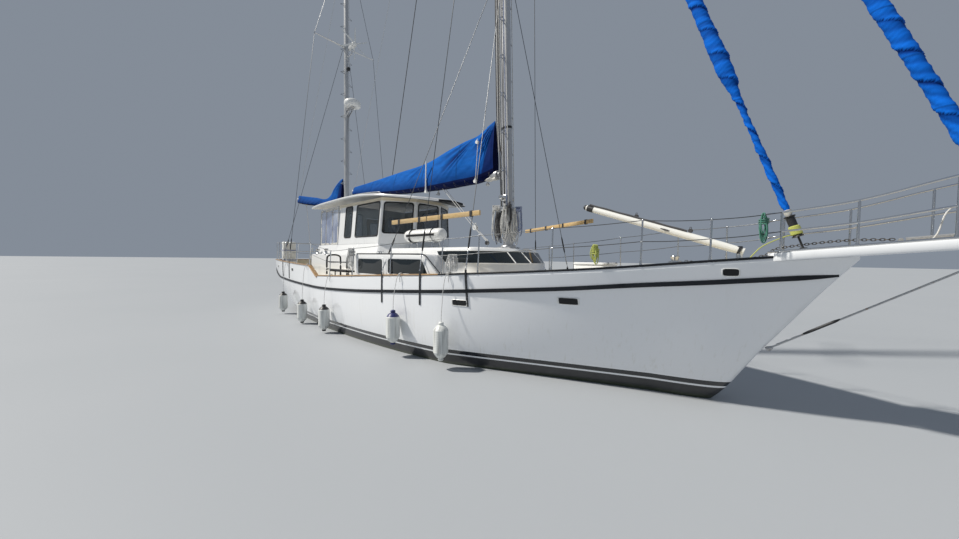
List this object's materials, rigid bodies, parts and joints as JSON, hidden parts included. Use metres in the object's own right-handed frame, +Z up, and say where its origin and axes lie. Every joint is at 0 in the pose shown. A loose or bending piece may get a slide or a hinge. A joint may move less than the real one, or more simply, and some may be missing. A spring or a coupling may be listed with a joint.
{
  "type": "ketch sailing yacht",
  "caption": "Ketch-rigged motor sailer afloat, with pilothouse, covered sails on her booms, furled headsails and plank bowsprit.",
  "frame": {"origin": "on the waterline, amidships, on the centreline", "axes": "+X towards the bow, +Y to port, +Z up; the plane Z = 0 is the water's surface"},
  "size_m": [18.065, 4.6898, 22.8],
  "materials": {
    "gelcoat": "gloss gelcoat",
    "antifoul": "matt antifouling paint",
    "wood": "weathered oiled timber",
    "glazing": "tinted",
    "clear_vinyl": "clear flexible sheet",
    "stainless": "polished",
    "spar": "grey anodised alloy",
    "white_paint": "white painted alloy",
    "sail_canvas": "woven acrylic canvas",
    "bronze": "dull bronze",
    "cream": "non-slip deck paint",
    "vinyl": "inflated vinyl",
    "galvanised": "galvanised steel",
    "black_fitting": "black moulded"
  },
  "bodies": {
    "yacht": {"hull": "gelcoat", "ballast_keel": "antifoul", "bulwark_cap": "wood", "hard_roof": "gelcoat", "pilothouse": "gelcoat", "pilothouse_glazing": "glazing", "deckhouse": "gelcoat", "deckhouse_glazing_starboard": "glazing", "deckhouse_glazing_port": "glazing", "coachroof_glazing": "glazing", "pilothouse_bulkhead": "gelcoat", "enclosure_frame": "stainless", "side_curtain_starboard": "clear_vinyl", "side_curtain_port": "clear_vinyl", "cockpit_bench": "cream", "helm_console": "cream", "foredeck_hatch_coaming": "gelcoat", "main_mast": "spar", "mizzen_mast": "spar", "main_rigging_starboard": "stainless", "main_rigging_port": "stainless", "mizzen_rigging_starboard": "stainless", "mizzen_rigging_port": "stainless", "triatic_stay": "stainless", "staysail_boom_pedestal": "stainless", "bowsprit": "gelcoat", "pulpit": "stainless", "bobstay": "galvanised", "genoa_drum": "black_fitting", "furled_genoa": "sail_canvas", "staysail_drum": "black_fitting", "furled_staysail": "sail_canvas", "guard_rail_starboard": "stainless", "guard_rail_port": "stainless", "pushpit": "stainless", "stern_lockers": "vinyl", "liferaft_canister": "gelcoat", "lashed_plank_starboard": "wood", "lashed_plank_port": "wood", "windlass": "galvanised", "fender_1": "vinyl", "fender_2": "vinyl", "fender_3": "vinyl", "fender_4": "vinyl", "fender_5": "vinyl", "radar_scanner": "gelcoat", "wind_generator": "gelcoat"},
    "rudder": {"rudder": "antifoul"},
    "wheel": {"steering_wheel": "stainless"},
    "propeller": {"propeller": "bronze"},
    "main_boom": {"main_boom": "spar", "main_sail_cover": "sail_canvas"},
    "mizzen_boom": {"mizzen_boom": "spar", "mizzen_sail_cover": "sail_canvas"},
    "staysail_boom": {"staysail_boom": "white_paint"},
    "wind_rotor": {"wind_rotor": "gelcoat"},
    "hatch_lid": {"foredeck_hatch_lid": "gelcoat"},
    "door": {"pilothouse_door": "cream", "pilothouse_door_light": "glazing"}
  },
  "joints": [
    {"name": "rudder_turn", "type": "hinge", "parent": "yacht", "child": "rudder", "pos_m": [-6.42, 0, -0.5], "axis": [0, 0, 1], "range_deg": [-35, 35]},
    {"name": "wheel_turn", "type": "hinge", "parent": "yacht", "child": "wheel", "pos_m": [-0.64, 0, 2.23], "axis": [1, 0, 0], "range_deg": [-281, 281]},
    {"name": "propeller_spin", "type": "hinge", "parent": "yacht", "child": "propeller", "pos_m": [-5.2, 0, -1], "axis": [1, 0, 0], "continuous": true},
    {"name": "main_boom_swing", "type": "hinge", "parent": "yacht", "child": "main_boom", "pos_m": [2.745, 0, 4], "axis": [-0.0391, 0, 0.9992], "range_deg": [-42, 42]},
    {"name": "mizzen_boom_swing", "type": "hinge", "parent": "yacht", "child": "mizzen_boom", "pos_m": [-5.15, 0, 4.1], "axis": [-0.007, 0, 1], "range_deg": [-55, 35]},
    {"name": "staysail_boom_swing", "type": "hinge", "parent": "yacht", "child": "staysail_boom", "pos_m": [7.21, 0, 2.2], "axis": [0, 0, 1], "range_deg": [-30, 30]},
    {"name": "wind_rotor_spin", "type": "hinge", "parent": "yacht", "child": "wind_rotor", "pos_m": [-4.37, 0, 9.88], "axis": [1, 0, 0], "continuous": true},
    {"name": "hatch_lid_open", "type": "hinge", "parent": "yacht", "child": "hatch_lid", "pos_m": [5.392, 0, 1.972], "axis": [0, 1, 0], "range_deg": [0, 85]},
    {"name": "door_open", "type": "hinge", "parent": "yacht", "child": "door", "pos_m": [-2.846, 0.342, 2.4], "axis": [0, 0, -1], "range_deg": [0, 90]}
  ],
  "couplings": [
    {"joint": "wheel_turn", "follows": "rudder_turn", "ratio": 8}
  ]
}
